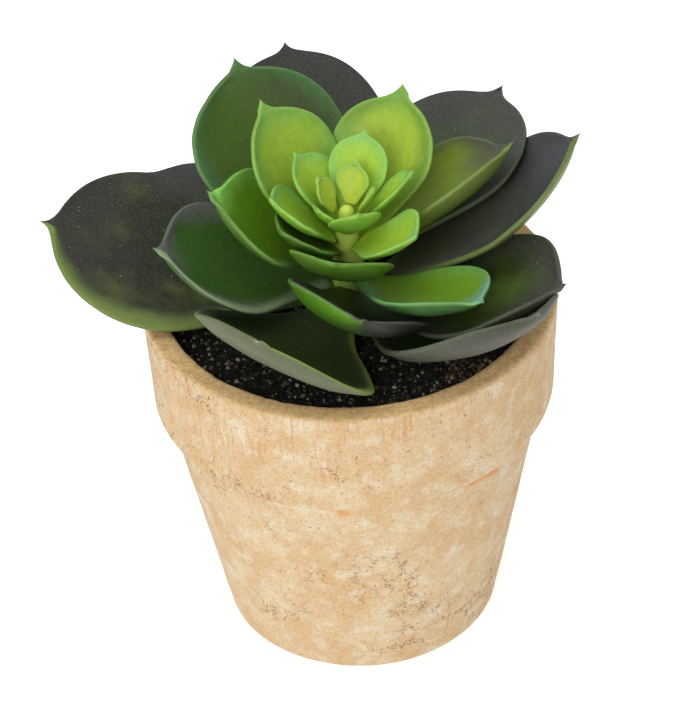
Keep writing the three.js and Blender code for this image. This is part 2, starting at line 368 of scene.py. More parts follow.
def draw_out_tip(fine, to_tip, scale):
    """Widens the last stations so that the blade runs into its point in a hollow curve."""
    spine = fine.mean(axis=1, keepdims=True)
    half_width = np.linalg.norm(fine[:, -1] - fine[:, 0], axis=1) / 2
    drawn = TIP_DRAW * scale * (to_tip / (scale * MM)) ** TIP_CURVE
    near = to_tip < TIP_REACH * scale
    wanted = np.where(near, np.maximum(half_width, drawn), half_width)
    wanted[:-1] = smoothed(wanted[:-1].copy(), 3)
    ratio = np.where(half_width > 1e-6, wanted / np.maximum(half_width, 1e-6), 1.0)
    fine[:] = spine + (fine - spine) * ratio[:, None, None]
    return half_width * ratio


def sheet_normals(points):
    """Normals of the sheet, all on one side. The very tip borrows its neighbour's."""
    along = np.gradient(points, axis=0)
    across = np.gradient(points, axis=1)
    across[-1] = across[-2]
    normal = np.cross(along, across)
    return normal / np.maximum(np.linalg.norm(normal, axis=2, keepdims=True), 1e-12)


print("sheet tools ready")


# %% Noise that is the same each time
def name_seed(name):
    """A fixed number for each leaf, from its letters."""
    return sum((i + 1) * ord(c) for i, c in enumerate(name)) % 997


def slow_noise(points, length, seed):
    """Smooth noise from -1 to 1 at each point, with hills about this long."""
    flat = points.reshape(-1, 3) / length + seed
    return np.array([noise.noise(Vector(p)) for p in flat]).reshape(points.shape[:-1])


print("the first leaf's seed is", name_seed(LEAVES[0]))


# %% Closed skins from rings
def ring_skin(name, loops, first_pole, last_pole, values):
    """A closed mesh over rings of points, with a pole at each end and values as attributes.

    values gives, for each attribute, a number for every point of the rings and for both poles.
    """
    rows, count = loops.shape[:2]
    vertices = np.concatenate([loops.reshape(-1, 3), [first_pole], [last_pole]])
    i, j = np.meshgrid(np.arange(rows - 1), np.arange(count), indexing="ij")
    k = (j + 1) % count
    sides = np.stack([i * count + j, (i + 1) * count + j, (i + 1) * count + k, i * count + k], axis=-1)
    faces = sides.reshape(-1, 4).tolist()
    first, last, top = rows * count, rows * count + 1, (rows - 1) * count
    for here in range(count):
        after = (here + 1) % count
        faces.append((first, here, after))
        faces.append((last, top + after, top + here))
    mesh = bpy.data.meshes.new(name)
    mesh.from_pydata(vertices.tolist(), [], faces)
    for key, (on_rings, at_first, at_last) in values.items():
        numbers = np.concatenate([np.ravel(on_rings), [at_first, at_last]]).astype(np.float32)
        mesh.attributes.new(key, "FLOAT", "POINT").data.foreach_set("value", numbers)
    mesh.polygons.foreach_set("use_smooth", [True] * len(mesh.polygons))
    mesh.update()
    if signed_volume(mesh) < 0:
        mesh.flip_normals()
    return mesh


def signed_volume(mesh):
    """Volume inside a closed mesh: positive when its faces point outwards."""
    total = 0.0
    for polygon in mesh.polygons:
        corners = [mesh.vertices[i].co for i in polygon.vertices]
        for i in range(1, len(corners) - 1):
            total += corners[0].dot(corners[i].cross(corners[i + 1])) / 6
    return total


def in_scene(name, mesh):
    """An object for a finished mesh. It sits at the origin: its place is in its mesh."""
    piece = bpy.data.objects.new(name, mesh)
    scene.collection.objects.link(piece)
    return piece


print("skin tools ready")

# %% Leaf skin over the sheet
ALONG_STEPS = 58
ACROSS_STEPS = 30
EDGE_ROUND = 0.45 * MM         # radius of the thin rounded margin
EDGE_SHARE = 0.42              # thickness just inside the margin, as a share of the middle's
FLESH = 0.35                   # how much the underside swells more than the upper face
WAVE = 0.45 * MM               # slow unevenness of a whole leaf
WAVE_LENGTH = 17 * MM
RIPPLE = 0.06 * MM
RIPPLE_LENGTH = 3.0 * MM
LIP_RISE = 0.7 * MM            # the margin turns up by this much
LIP_REACH = 4.0 * MM           # and does so over this width
LIP_END = 9 * MM               # the lip fades out over this much of the leaf before the tip
BROAD = 12 * MM                # a leaf with a smaller half width waves and turns up less


def leaf_skin(name):
    """The leaf's fine closed mesh, with where each point lies on it as attributes."""
    sheet = leaf_sheet(name, ALONG_STEPS, ACROSS_STEPS)
    points, normal, thickness, half_width, along, v, length = sheet
    seed = name_seed(name)
    margin = (1 - np.abs(v))[None, :] * half_width[:, None]
    round_off = np.sqrt(np.clip(1 - (1 - np.minimum(margin / EDGE_ROUND, 1)) ** 2, 0, 1))
    swell = EDGE_SHARE + (1 - EDGE_SHARE) * np.sqrt(1 - np.abs(v)[None, :] ** 1.7)
    offset = 0.5 * thickness[:, None] * round_off * swell
    broad = min(1.0, half_width.max() / BROAD) * np.clip(along / 0.3, 0, 1)[:, None]
    lift = WAVE * broad * slow_noise(points, WAVE_LENGTH, seed)
    lift = lift + RIPPLE * slow_noise(points, RIPPLE_LENGTH, seed + 3)
    near_tip = np.clip((1 - along) * length / LIP_END, 0, 1)[:, None]
    lift = lift + LIP_RISE * broad * near_tip * np.exp(-(margin / LIP_REACH) ** 2)
    upper = points + normal * (lift + offset)[..., None]
    lower = points + normal * (lift - offset * (1 + FLESH * (1 - v[None, :] ** 2)))[..., None]

    # one skin: over the upper face from margin to margin, then back under the leaf
    back = slice(-2, 0, -1)
    loops = np.concatenate([upper, lower[:, back]], axis=1)[:-1]
    rows, count = loops.shape[:2]
    face = np.ones(count)
    face[ACROSS_STEPS + 1:] = -1
    face[[0, ACROSS_STEPS]] = 0
    front = 1 if points[ALONG_STEPS // 2, -1, 1] < points[ALONG_STEPS // 2, 0, 1] else -1
    margin_mm = np.concatenate([margin, margin[:, back]], axis=1)[:-1] / MM
    values = {
        "along": (np.repeat(along[:-1], count), 0, 1),
        "to_front": (np.tile(np.concatenate([v, v[back]]) * front, rows), 0, 0),
        "margin_mm": (margin_mm, 5, 0),
        "tip_mm": (np.repeat(1 - along[:-1], count) * length / MM, length / MM, 0),
        "face": (np.tile(face, rows), 0, 0),
    }
    return ring_skin(name + "_skin", loops, points[0].mean(axis=0), points[-1, 0], values)


leaves = {}
for name in LEAVES:
    leaves[name] = in_scene(name.replace("leaf_", "plant_leaf_"), leaf_skin(name))
triangles = sum(2 * len(leaf.data.polygons) for leaf in leaves.values())
print(len(leaves), "leaves made,", triangles, "triangles")

# %% [markdown]
# ## The waxy skin of a leaf
# The leaf has a matte skin with a fine powdery bloom. The green of its cup turns to charcoal or
# violet grey towards the margin and the tip. A picture wrapped round the leaf would need seams.
# The attributes kept on the skin do better: they say how many millimetres a point is from the
# margin, so a band keeps its width along the whole leaf. Slow noise moves the band's border,
# fine noise mottles it, and a thin pale line runs along the very edge. One recipe lays these
# layers, and each leaf's look is a handful of colours and widths.


# %% Patches of noise
def patches(tree, place, size_mm, low, high, detail=3.0):
    """Soft-edged patches: 1 where noise with hills about size_mm apart is above a level."""
    hills = add(tree, "ShaderNodeTexNoise", {"Vector": place, "Scale": 1 / (size_mm * MM),
                                             "Detail": detail})
    return add(tree, "ShaderNodeMapRange", {"Value": hills, "From Min": low, "From Max": high},
               interpolation_type="SMOOTHSTEP")


print("patches ready")


# %% Where the zones of a leaf lie
def leaf_zones(tree, place, rim_mm, tip_mm, front_mm):
    """Shares of the leaf's zones: rim, tip, foot, underside, very edge, front band of painted light, far
    side.
    """
    along, margin, to_tip, face, side = [
        add(tree, "ShaderNodeAttribute", attribute_name=kept).outputs["Fac"]
        for kept in ("along", "margin_mm", "tip_mm", "face", "to_front")]
    slow = add(tree, "ShaderNodeTexNoise", {"Vector": place, "Scale": 1 / (11 * MM), "Detail": 3.5})
    drift = add(tree, "ShaderNodeMapRange", {"Value": slow, "From Min": 0.3, "From Max": 0.7,
                                             "To Min": -0.5, "To Max": 0.5})
    from_margin = add(tree, "ShaderNodeMath", {0: drift, 1: 0.8 * rim_mm, 2: margin},
                      operation="MULTIPLY_ADD")
    from_tip = add(tree, "ShaderNodeMath", {0: drift, 1: 0.5 * tip_mm, 2: to_tip},
                   operation="MULTIPLY_ADD")
    from_front = add(tree, "ShaderNodeMath", {0: drift, 1: 0.5 * front_mm, 2: margin},
                     operation="MULTIPLY_ADD")
    borders = {
        "rim": (from_margin, 1.5 * rim_mm, 0.1 * rim_mm),
        "tip": (from_tip, 1.6 * tip_mm, 0.3 * tip_mm),
        "foot": (along, 0.5, 0.1),
        "under": (face, 0.5, -0.5),
        "edge": (margin, 0.7, 0.1),
        "band": (from_front, 1.7 * front_mm, 0.3 * front_mm),
        "front": (side, 0.0, 0.35),
        "far": (side, 0.35, -0.75),
    }
    return {zone: add(tree, "ShaderNodeMapRange", {"Value": value, "From Min": none, "From Max": full},
                      interpolation_type="SMOOTHSTEP")
            for zone, (value, none, full) in borders.items()}


print("zones ready")


# %% Mottling, bloom and specks
def skin_grain(tree, place, colour):
    """Mottling, faint fibres, powdery bloom and pale specks over a colour, and two heights."""
    mottle = add(tree, "ShaderNodeTexNoise", {"Vector": place, "Scale": 1 / (1.7 * MM), "Detail": 4.0})
    powder = add(tree, "ShaderNodeTexNoise", {"Vector": place, "Scale": 1 / (0.36 * MM), "Detail": 2.0})
    darker = add(tree, "ShaderNodeMapRange", {"Value": mottle, "From Min": 0.3, "From Max": 0.7,
                                              "To Min": 0.92, "To Max": 1.07})
    side, along = [add(tree, "ShaderNodeAttribute", attribute_name=kept).outputs["Fac"]
                   for kept in ("to_front", "along")]
    lengthwise = add(tree, "ShaderNodeCombineXYZ", {"X": side, "Y": along})
    stretched = add(tree, "ShaderNodeVectorMath", {0: lengthwise, 1: (26.0, 2.5, 0.0)},
                    operation="MULTIPLY")
    fibre = add(tree, "ShaderNodeTexNoise", {"Vector": stretched, "Scale": 1.0, "Detail": 3.0})
    fibres = add(tree, "ShaderNodeMapRange", {"Value": fibre, "From Min": 0.3, "From Max": 0.7,
                                              "To Min": 0.95, "To Max": 1.05})
    streaky = add(tree, "ShaderNodeMath", {0: darker, 1: fibres}, operation="MULTIPLY")
    value = add(tree, "ShaderNodeHueSaturation", {"Value": streaky, "Color": colour})
    bloom = add(tree, "ShaderNodeMapRange", {"Value": powder, "From Min": 0.45, "From Max": 0.75,
                                             "To Max": 0.10})
    powdered = add(tree, "ShaderNodeMix", {"Factor": bloom, "A": value, "B": "#aab48a"}, data_type="RGBA")
    cells = add(tree, "ShaderNodeTexVoronoi", {"Vector": place, "Scale": 1 / (2.0 * MM)})
    dot = add(tree, "ShaderNodeMapRange", {"Value": cells.outputs["Distance"], "From Min": 0.04,
              "From Max": 0.085, "To Min": 0.5, "To Max": 0.0})
    lot = add(tree, "ShaderNodeSeparateColor", {"Color": cells.outputs["Color"]})
    few = add(tree, "ShaderNodeMath", {0: lot.outputs["Red"], 1: 0.78}, operation="GREATER_THAN")
    speck = add(tree, "ShaderNodeMath", {0: dot, 1: few}, operation="MULTIPLY")
    specked = add(tree, "ShaderNodeMix", {"Factor": speck, "A": powdered, "B": "#e4e8da"},
                  data_type="RGBA")
    return specked, mottle, powder


print("grain ready")


# %% The leaf recipe
def waxy_leaf(name, core, rim, tip, under, foot, edge, rim_mm=5.0, tip_mm=8.0,
              front=None, front_mm=3.0, far=None, under_far=None, patch=None):
    """Waxy bloom-covered leaf skin. The bloom scatters light, so it looks soft and matte."""
    material, tree, shader = new_material(name)
    place = add(tree, "ShaderNodeTexCoord").outputs["Object"]
    zone = leaf_zones(tree, place, rim_mm, tip_mm, front_mm)
    layers = [("rim", rim), ("tip", tip), ("foot", foot)]
    colour = core
    if patch:
        cloud = patches(tree, place, 13.0, 0.42, 0.68)
        colour = add(tree, "ShaderNodeMix", {"Factor": cloud, "A": core, "B": patch}, data_type="RGBA")
    if far:
        layers.insert(0, ("far", far))
    for share, over in layers:
        colour = add(tree, "ShaderNodeMix", {"Factor": zone[share], "A": colour, "B": over},
                     data_type="RGBA")
    # partly painted light: the margin facing the front gets a paler band, the turned-up underside's green
    # made brighter as if lit by the front lamp, on that side only
    if front:
        band = add(tree, "ShaderNodeMath", {0: zone["band"], 1: zone["front"]}, operation="MULTIPLY")
        colour = add(tree, "ShaderNodeMix", {"Factor": band, "A": colour, "B": front}, data_type="RGBA")
    below = under
    if under_far:
        below = add(tree, "ShaderNodeMix", {"Factor": zone["far"], "A": under, "B": under_far},
                    data_type="RGBA")
    below = add(tree, "ShaderNodeMix", {"Factor": zone["foot"], "A": below, "B": foot}, data_type="RGBA")
    both = add(tree, "ShaderNodeMix", {"Factor": zone["under"], "A": colour, "B": below},
               data_type="RGBA")
    faint = add(tree, "ShaderNodeMath", {0: zone["edge"], 1: 0.25}, operation="MULTIPLY")
    lined = add(tree, "ShaderNodeMix", {"Factor": faint, "A": both, "B": edge}, data_type="RGBA")
    grained, mottle, powder = skin_grain(tree, place, lined)
    bumps = add(tree, "ShaderNodeBump", {"Height": mottle, "Strength": 0.3, "Distance": 0.15 * MM})
    grain = add(tree, "ShaderNodeBump", {"Height": powder, "Strength": 0.4, "Distance": 0.05 * MM,
                                         "Normal": bumps})
    matte = add(tree, "ShaderNodeMapRange", {"Value": mottle, "To Min": 0.44, "To Max": 0.62})
    tree.links.new(grained.outputs[2], shader.inputs["Base Color"])
    tree.links.new(grain.outputs["Normal"], shader.inputs["Normal"])
    tree.links.new(matte.outputs["Result"], shader.inputs["Roughness"])
    shader.inputs["IOR"].default_value = 1.42
    shader.inputs["Specular IOR Level"].default_value = 0.35
    return material


print("leaf recipe ready")

# %% The look of each leaf
# outer leaves are charcoal, the middle ones green with grey rims, the young ones lime
# front and front_mm give that band of painted light along the margin that faces the front
LOOKS = {
    "outer_left": dict(core="#1b2013", rim="#31332c", tip="#2a2a27", under="#59643a",
        foot="#415322", edge="#3c4228", rim_mm=7, tip_mm=20, front="#697c3a", front_mm=4.8,
        patch="#474e24"),
    "outer_back_left": dict(core="#353337", rim="#353339", tip="#353339", under="#4d4d40",
        foot="#3c3f2c", edge="#4b4b46"),
    "outer_back": dict(core="#2d3724", rim="#2e2f2d", tip="#2b2b2b", under="#4c523a",
        foot="#38451d", edge="#474b3f", rim_mm=8, tip_mm=24, patch="#3f4b22"),
    "outer_right": dict(core="#383a33", rim="#3a3a3b", tip="#35353a", under="#66773a",
        foot="#384217", edge="#54564e", rim_mm=6, tip_mm=30, front="#5d6f30", front_mm=1.6,
        patch="#454b30"),
    "outer_front_right": dict(core="#26351a", rim="#45493f", tip="#3f423a", under="#393b30",
        foot="#3a4a1c", edge="#5d6b4c", patch="#3c5218"),
    "outer_front_left": dict(core="#22330f", rim="#4b5540", tip="#a3ae86", under="#50543f",
        foot="#33451c", edge="#70803f", rim_mm=3, tip_mm=2.4, front="#6f873b", front_mm=1.5),
    "upper_back_left": dict(core="#415f14", rim="#47713d", tip="#476937", under="#4c5a2e",
        foot="#4e6f1c", edge="#5b7a46", rim_mm=5, tip_mm=8, far="#404e2d"),
    "upper_back_right": dict(core="#3f502c", rim="#40443c", tip="#383937", under="#4f5a32",
        foot="#4c6222", edge="#5a6450", rim_mm=8, tip_mm=18, patch="#4c5a30"),
    "upper_right": dict(core="#334213", rim="#3c3e34", tip="#3e3e39", under="#3f4332",
        foot="#3a511c", edge="#4d5440", rim_mm=7, tip_mm=18, patch="#47601c"),
    "upper_front": dict(core="#272423", rim="#343431", tip="#3a3a36", under="#272725",
        foot="#38540f", edge="#5c5f56", far="#4b7018", under_far="#48770c"),
    "middle_left": dict(core="#2b4e0f", rim="#545653", tip="#4f4e4f", under="#2f4a1c",
        foot="#2e5312", edge="#5a6654", rim_mm=5, tip_mm=7, front="#748964", front_mm=3.0),
    "middle_bright": dict(core="#547e09", rim="#6a993b", tip="#84bf53", under="#4c6d22",
        foot="#4b6e14", edge="#6f9a4c", rim_mm=3.5, front="#5d8742", front_mm=3.0),
    "middle_back_left": dict(core="#8cab2e", rim="#72a042", tip="#76a345", under="#6c8f2c",
        foot="#86a52a", edge="#86ab4d", rim_mm=5),
    "middle_back": dict(core="#95b034", rim="#709535", tip="#6b9539", under="#749634",
        foot="#90ae2e", edge="#8db356", rim_mm=5),
    "middle_right": dict(core="#6e851c", rim="#5f7038", tip="#454539", under="#6a7c36",
        foot="#8da828", edge="#6c7a4c", rim_mm=3, tip_mm=13, front="#6c8432", front_mm=2.5),
    "middle_front_right": dict(core="#638a15", rim="#5e8d3e", tip="#6d9a88", under="#4c783e",
        foot="#5f841c", edge="#73a05c", rim_mm=3.5, front="#67a265", front_mm=2.6),
    "middle_front": dict(core="#4a7215", rim="#5c852c", tip="#4f7a2c", under="#4c731a",
        foot="#355010", edge="#6f9a40", rim_mm=3, tip_mm=4),
    "middle_front_left": dict(core="#3e6112", rim="#527a2c", tip="#4f7a2c", under="#44651a",
        foot="#345010", edge="#6a9444", rim_mm=3, tip_mm=4),
    "inner": dict(core="#97ba32", rim="#80b44f", tip="#7ab058", under="#7dad37", foot="#93b629",
        edge="#8cb450", rim_mm=3, tip_mm=4),
    "heart": dict(core="#a3b838", rim="#86ab40", tip="#7ea646", under="#8cac36", foot="#a8b838",
        edge="#a4c35a", rim_mm=1.5, tip_mm=2.5),
}


def look_for(leaf_name):
    """The name of the leaf's own look, or of its layer's."""
    short = leaf_name.replace("leaf_", "")
    return short if short in LOOKS else short.split("_")[0]


skins = {}
for name, leaf in leaves.items():
    key = look_for(name)
    if key not in skins:
        skins[key] = waxy_leaf("waxy_leaf_" + key, **LOOKS[key])
    leaf.data.materials.append(skins[key])
    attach(leaf, "root")
    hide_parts(name)
print(len(skins), "leaf skins on", len(leaves), "leaves")

# %% [markdown]
# ## Round pieces: stem, pot and soil
# The stem, the pot and the bed of soil are solids of revolution. The solid model has them with
# few sides. Their outline is read from its corners on one side, walked in order, put into short
# steps with softened corners, and turned again in many more steps. A lathe in clay works the
# same way: one outline, and the wheel does the rest. Noise then takes away the machine look.


# %% Outlines
def outline(node):
    """Radius and height of the corners on the +X side, walked along their edges from below."""
    shell = merged_copy(node)
    flat = {v for v in shell.verts if abs(v.co.y) < 5e-6 and v.co.x > 1e-6}
    start = max(flat, key=lambda v: (-round(v.co.z, 5), v.co.x))
    walked = [start]
    while True:
        nexts = [e.other_vert(walked[-1]) for e in walked[-1].link_edges]
        nexts = [v for v in nexts if v in flat and v not in walked]
        if not nexts:
            break
        walked.append(max(nexts, key=lambda v: v.co.x))
    points = np.array([(v.co.x, v.co.z) for v in walked])
    shell.free()
    return points


def refined(points, step, soften):
    """The outline in short steps, with its corners softened over a length."""
    run = np.concatenate([[0], np.cumsum(np.linalg.norm(np.diff(points, axis=0), axis=1))])
    at = np.linspace(0, run[-1], max(int(run[-1] / step), 8))
    fine = np.stack([np.interp(at, run, points[:, i]) for i in (0, 1)], axis=1)
    return smoothed(fine, max(int((soften / step) ** 2 * 2), 1))


def wheel(profile, sides):
    """Rings of points: the profile turned about the vertical axis."""
    angle = np.linspace(0, 2 * math.pi, sides, endpoint=False)
    rings = np.empty((len(profile), sides, 3))
    rings[..., 0] = profile[:, None, 0] * np.cos(angle)
    rings[..., 1] = profile[:, None, 0] * np.sin(angle)
    rings[..., 2] = profile[:, None, 1]
    return rings


def outward(rings):
    """The direction away from the profile's surface, for each point of the rings."""
    along = np.gradient(rings, axis=0)
    around = np.roll(rings, -1, axis=1) - np.roll(rings, 1, axis=1)
    normal = np.cross(around, along)
    return normal / np.maximum(np.linalg.norm(normal, axis=2, keepdims=True), 1e-12)


for node in ("stem", "pot", "soil"):
    print(node, "outline has", len(outline(node)), "corners")

# %% The stem
STEM_SIDES = 48
stem_rings = wheel(refined(outline("stem"), 0.5 * MM, 0.6 * MM), STEM_SIDES)
scars = np.minimum(0.3 * MM * slow_noise(stem_rings, 3.2 * MM, 11), 0.12 * MM)
stem_rings = stem_rings + outward(stem_rings) * scars[..., None]
ends = stem_rings[0].mean(axis=0), stem_rings[-1].mean(axis=0)
stem = in_scene("plant_stem", ring_skin("stem_skin", stem_rings, *ends, {}))

# fleshy plant stem, green where it is young and browner and corky where leaves have dropped off
stem_skin, tree, shader = new_material("fleshy_green_stem")
place = add(tree, "ShaderNodeTexCoord").outputs["Object"]
height = add(tree, "ShaderNodeSeparateXYZ", {"Vector": place}).outputs["Z"]
young = add(tree, "ShaderNodeMapRange", {"Value": height, "From Min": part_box("soil")[1].z,
                                         "From Max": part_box("stem")[1].z})
# painted light: both greens are painted paler than the stem's own, for the glow that comes through the
# leaves onto it
green = add(tree, "ShaderNodeMix", {"Factor": young, "A": "#8fae48", "B": "#bfd058"}, data_type="RGBA")
patchy = patches(tree, place, 3.0, 0.5, 0.7)
old = add(tree, "ShaderNodeMath", {0: 0.8, 1: young}, operation="SUBTRACT")
corky = add(tree, "ShaderNodeMath", {0: patchy, 1: old}, operation="MULTIPLY", use_clamp=True)
barked = add(tree, "ShaderNodeMix", {"Factor": corky, "A": green, "B": "#5f5f2c"}, data_type="RGBA")
pores = add(tree, "ShaderNodeTexNoise", {"Vector": place, "Scale": 1 / (0.9 * MM), "Detail": 4.0})
rough = add(tree, "ShaderNodeBump", {"Height": pores, "Strength": 0.5, "Distance": 0.2 * MM})
tree.links.new(barked.outputs[2], shader.inputs["Base Color"])
tree.links.new(rough.outputs["Normal"], shader.inputs["Normal"])
shader.inputs["Roughness"].default_value = 0.6
shader.inputs["IOR"].default_value = 1.42
stem.data.materials.append(stem_skin)
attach(stem, "root")
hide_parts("stem")
print("stem of", len(stem.data.polygons), "faces")

# %% [markdown]
# ## The clay pot
# The pot is thick unglazed clay, pressed in a mould and left rough. Its edges are a little
# ragged, its wall isn't quite true, and small pits are sunk into it. Waves of three sizes along
# the surface's own direction give that, the largest a few centimetres long.

# %% The pot's shape
POT_SIDES = 288
FOOT_CALM = 1.0 * MM           # the lowest millimetre isn't moved, so that the foot stays flat
pot_profile = refined(outline("pot"), 0.65 * MM, 0.45 * MM)
rim_height = pot_profile[:, 1].max()
rim_row = int(np.argmax(pot_profile[:, 1] > rim_height - 0.05 * MM))
pot_rings = wheel(pot_profile, POT_SIDES)
pot_out = outward(pot_rings)
if pot_out[rim_row // 2, 0, 0] < 0:
    pot_out = -pot_out
sag = 0.28 * MM * slow_noise(pot_rings, 26 * MM, 5)
press = 0.10 * MM * slow_noise(pot_rings, 5 * MM, 17)
pits = -0.10 * MM * np.clip(slow_noise(pot_rings, 1.7 * MM, 23) - 0.25, 0, 1)
near_lip = np.exp(-((pot_rings[..., 2] - rim_height) / (1.2 * MM)) ** 2)
chips = -0.45 * MM * near_lip * np.clip(slow_noise(pot_rings, 2.2 * MM, 31) - 0.1, 0, 1)
standing = np.clip(pot_rings[..., 2] / FOOT_CALM, 0, 1)
pot_rings = pot_rings + pot_out * ((sag + press + pits + chips) * standing)[..., None]

# how far a point is on the flat top of the rim, and how far down inside
top_share = np.clip(pot_out[..., 2] * 3 - 1.4, 0, 1) * (pot_rings[..., 2] > rim_height - 2.5 * MM)
inside = np.zeros(pot_rings.shape[:2])
inside[rim_row:] = np.clip((rim_height - 0.6 * MM - pot_rings[rim_row:, :, 2]) / (0.8 * MM), 0, 1)
pole_low, pole_high = pot_rings[0].mean(axis=0), pot_rings[-1].mean(axis=0)
pot_values = {"rim_top": (top_share, 0, 0), "inside": (inside, 0, 1)}
pot = in_scene("clay_pot", ring_skin("pot_wall", pot_rings, pole_low, pole_high, pot_values))
print("pot of", 2 * len(pot.data.polygons), "triangles,", round(rim_height / MM, 1), "mm high")

# %% [markdown]
# ## Unglazed clay
# Earthenware fired without a glaze is dull and porous. Salts bloom on it as pale clouds, iron
# shows as orange stains, and fine brown pits lie in strings where the clay tore in its mould. The
# pits' strings are the borders between noise-bent cells, broken up by finer noise. The flat top of
# the rim is painted a browner tan as painted shade, and the inside below the rim is darker brown.


# %% Clay colours
clay, tree, shader = new_material("unglazed_earthenware")
place = add(tree, "ShaderNodeTexCoord").outputs["Object"]
height = add(tree, "ShaderNodeSeparateXYZ", {"Vector": place}).outputs["Z"]
cloud = patches(tree, place, 15.0, 0.36, 0.68, 5.0)
bloom = patches(tree, place, 5.0, 0.44, 0.78, 7.0)
iron = patches(tree, place, 6.0, 0.50, 0.82, 8.0)
faint_iron = add(tree, "ShaderNodeMath", {0: iron, 1: 0.6}, operation="MULTIPLY")
flecks = patches(tree, place, 0.9, 0.40, 0.66, 3.0)
faint_flecks = add(tree, "ShaderNodeMath", {0: flecks, 1: 0.30}, operation="MULTIPLY")
flecked = "#b99e79"
for share, over in ((cloud, "#c0ad8c"), (bloom, "#c4bba5"), (faint_iron, "#b98b59"),
                    (faint_flecks, "#ae804e")):
    flecked = add(tree, "ShaderNodeMix", {"Factor": share, "A": flecked, "B": over}, data_type="RGBA")
print("clay body has", len(tree.nodes), "nodes so far")

# %% An iron stain along the collar's foot
# it lies where the thick collar meets the body, and is strongest where slow noise is high
COLLAR_RADIUS = 47.5 * MM      # the body is narrower than this all the way, and the collar wider
collar_foot = float(pot_profile[np.argmax(pot_profile[:, 0] > COLLAR_RADIUS), 1])
waver = add(tree, "ShaderNodeTexNoise", {"Vector": place, "Scale": 1 / (7 * MM), "Detail": 3.0})
wavered = add(tree, "ShaderNodeMath", {0: waver, 1: 5 * MM, 2: height}, operation="MULTIPLY_ADD")
from_foot = add(tree, "ShaderNodeMath", {0: wavered, 1: collar_foot + 0.2 * MM}, operation="SUBTRACT")
off_foot = add(tree, "ShaderNodeMath", {0: from_foot}, operation="ABSOLUTE")
foot_line = add(tree, "ShaderNodeMapRange", {"Value": off_foot, "From Min": 0.5 * MM,
                "From Max": 2.6 * MM, "To Min": 0.8, "To Max": 0.0}, interpolation_type="SMOOTHSTEP")
foot_break = patches(tree, place, 14.0, 0.48, 0.62, 2.0)
foot_share = add(tree, "ShaderNodeMath", {0: foot_line, 1: foot_break}, operation="MULTIPLY")
footed = add(tree, "ShaderNodeMix", {"Factor": foot_share, "A": flecked, "B": "#bf7f3c"},
             data_type="RGBA")
print("collar foot", round(collar_foot / MM, 1), "mm up")

# %% Upright scratches on the collar
# the mould was drawn off upwards, which left fine lines: noise stretched along the height
squeeze = add(tree, "ShaderNodeMapping", {"Vector": place, "Scale": (1.0, 1.0, 0.05)})
lines = add(tree, "ShaderNodeTexNoise", {"Vector": squeeze, "Scale": 1 / (0.7 * MM), "Detail": 2.0})
line = add(tree, "ShaderNodeMapRange", {"Value": lines, "From Min": 0.50, "From Max": 0.66,
           "To Max": 0.45}, interpolation_type="SMOOTHSTEP")
on_collar = add(tree, "ShaderNodeMapRange", {"Value": height, "From Min": collar_foot,
                "From Max": rim_height - 12 * MM}, interpolation_type="SMOOTHSTEP")
here_only = patches(tree, place, 22.0, 0.42, 0.60, 1.0)
scratch = add(tree, "ShaderNodeMath", {0: line, 1: on_collar}, operation="MULTIPLY")
scratched = add(tree, "ShaderNodeMath", {0: scratch, 1: here_only}, operation="MULTIPLY")
lined = add(tree, "ShaderNodeMix", {"Factor": scratched, "A": footed, "B": "#b07a48"}, data_type="RGBA")
print("scratches run up to", round(rim_height / MM), "mm")

# %% Strings of pits
bend = add(tree, "ShaderNodeTexNoise", {"Vector": place, "Scale": 1 / (4 * MM), "Detail": 4.0})
bent = add(tree, "ShaderNodeVectorMath", {0: bend.outputs["Color"], 1: (0.006, 0.006, 0.006), 2: place},
           operation="MULTIPLY_ADD")
cracks = add(tree, "ShaderNodeTexVoronoi", {"Vector": bent, "Scale": 1 / (6 * MM)},
             feature="DISTANCE_TO_EDGE")
string = add(tree, "ShaderNodeMapRange", {"Value": cracks, "From Min": 0.02, "From Max": 0.07,
                                          "To Min": 1.0, "To Max": 0.0})
dots = patches(tree, place, 0.5, 0.50, 0.60, 1.0)
torn = patches(tree, place, 24.0, 0.50, 0.62, 2.0)
string_dots = add(tree, "ShaderNodeMath", {0: string, 1: dots}, operation="MULTIPLY")
pitted = add(tree, "ShaderNodeMath", {0: string_dots, 1: torn}, operation="MULTIPLY")
lone = patches(tree, place, 0.6, 0.71, 0.76, 1.0)
pits_all = add(tree, "ShaderNodeMath", {0: pitted, 1: lone}, operation="MAXIMUM")
pit_share = add(tree, "ShaderNodeMath", {0: pits_all, 1: 0.75}, operation="MULTIPLY")
dug = add(tree, "ShaderNodeMix", {"Factor": pit_share, "A": lined, "B": "#75491c"}, data_type="RGBA")
print("pits lie in strings about 6 mm apart")

# %% Grain of the clay, its rim and its inside
sand = add(tree, "ShaderNodeTexNoise", {"Vector": place, "Scale": 1 / (0.55 * MM), "Detail": 3.0})
sandy = add(tree, "ShaderNodeMapRange", {"Value": sand, "From Min": 0.3, "From Max": 0.7,
                                         "To Min": 0.90, "To Max": 1.10})
grained = add(tree, "ShaderNodeHueSaturation", {"Value": sandy, "Color": dug})
rim_top = add(tree, "ShaderNodeAttribute", attribute_name="rim_top").outputs["Fac"]
within = add(tree, "ShaderNodeAttribute", attribute_name="inside").outputs["Fac"]
# painted shade: the flat top of the rim is painted a browner tan, as it faces up, away from the mostly
# frontal light
dull = add(tree, "ShaderNodeMix", {"Factor": flecks, "A": "#c9a875", "B": "#b49264"}, data_type="RGBA")
rim_top_shaded = add(tree, "ShaderNodeMix", {"Factor": rim_top, "A": grained, "B": dull}, data_type="RGBA")
